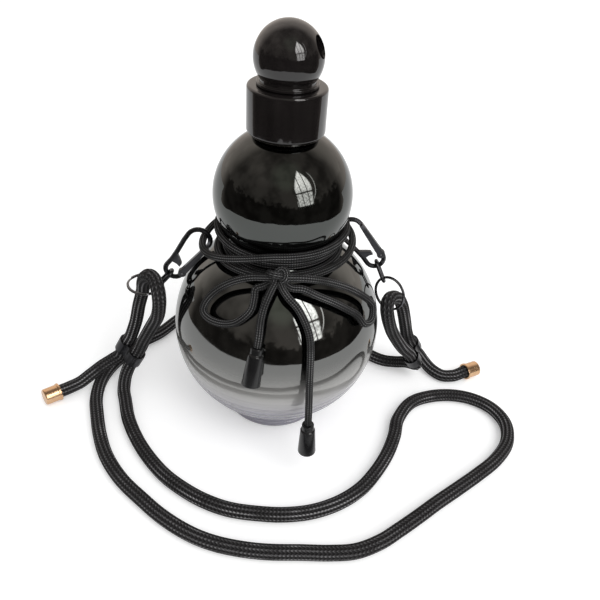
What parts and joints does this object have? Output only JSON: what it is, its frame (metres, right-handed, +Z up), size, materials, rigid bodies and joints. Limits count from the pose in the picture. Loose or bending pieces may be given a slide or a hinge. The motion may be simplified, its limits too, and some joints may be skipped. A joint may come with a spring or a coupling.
{
  "type": "double gourd bottle",
  "caption": "Gourd-shaped black glass bottle with a ball stopper, a bow tied at its waist and a carrying strap on spring clips.",
  "frame": {"origin": "centre of the bottle's foot, on the surface it stands on", "axes": "+Z up along the bottle's axis, -Y towards the bow, +X to the right of the bow"},
  "size_m": [0.2949, 0.2186, 0.2316],
  "materials": {
    "smoked_glass": "glossy black glass, clear and thick at the base",
    "black_gloss": "glossy black",
    "clear_silicone": "clear soft seal",
    "waist_cord": "matt round braid",
    "strap_cord": "matt round braid with light ribs",
    "bell_plastic": "black, satin",
    "gunmetal": "dark plated metal",
    "ring_steel": "dark polished wire",
    "dark_sleeve": "dark plated, lined",
    "rose_brass": "rose gold plating"
  },
  "bodies": {
    "bottle": {"bottle_body": "smoked_glass", "bow_knot": "waist_cord", "bow_loop_left": "waist_cord", "bow_loop_right": "waist_cord", "bow_tail_left": "waist_cord", "bow_tail_right": "waist_cord", "clip_frame_left": "gunmetal", "clip_frame_right": "gunmetal", "connector_link_left": "gunmetal", "connector_link_right": "gunmetal", "gate_pin_left": "gunmetal", "gate_pin_right": "gunmetal", "neck_collar": "black_gloss", "shoulder_strap": "strap_cord", "split_ring_left": "ring_steel", "split_ring_right": "ring_steel", "strap_end_cap_left": "rose_brass", "strap_end_cap_right": "rose_brass", "strap_sleeve_left": "dark_sleeve", "strap_sleeve_right": "dark_sleeve", "tail_bell_left": "bell_plastic", "tail_bell_right": "bell_plastic", "waist_cord_winding": "waist_cord"},
    "stopper": {"stopper_ball": "black_gloss", "stopper_seal_upper": "clear_silicone", "stopper_seal_lower": "clear_silicone"},
    "gate_left": {"clip_gate_left": "gunmetal"},
    "gate_right": {"clip_gate_right": "gunmetal"}
  },
  "joints": [
    {"name": "stopper_lift", "type": "slide", "parent": "bottle", "child": "stopper", "axis": [0, 0, 1], "range_m": [0, 0.045]},
    {"name": "gate_left_open", "type": "hinge", "parent": "bottle", "child": "gate_left", "pos_m": [-0.05482, 0, 0.09251], "axis": [0, -1, 0], "range_deg": [0, 20], "stiffness_Nm_per_rad": 0.02, "springref_deg": -17.19},
    {"name": "gate_right_open", "type": "hinge", "parent": "bottle", "child": "gate_right", "pos_m": [0.05806, 0.012, 0.10383], "axis": [0, -1, 0], "range_deg": [0, 20], "stiffness_Nm_per_rad": 0.02, "springref_deg": -17.19}
  ]
}
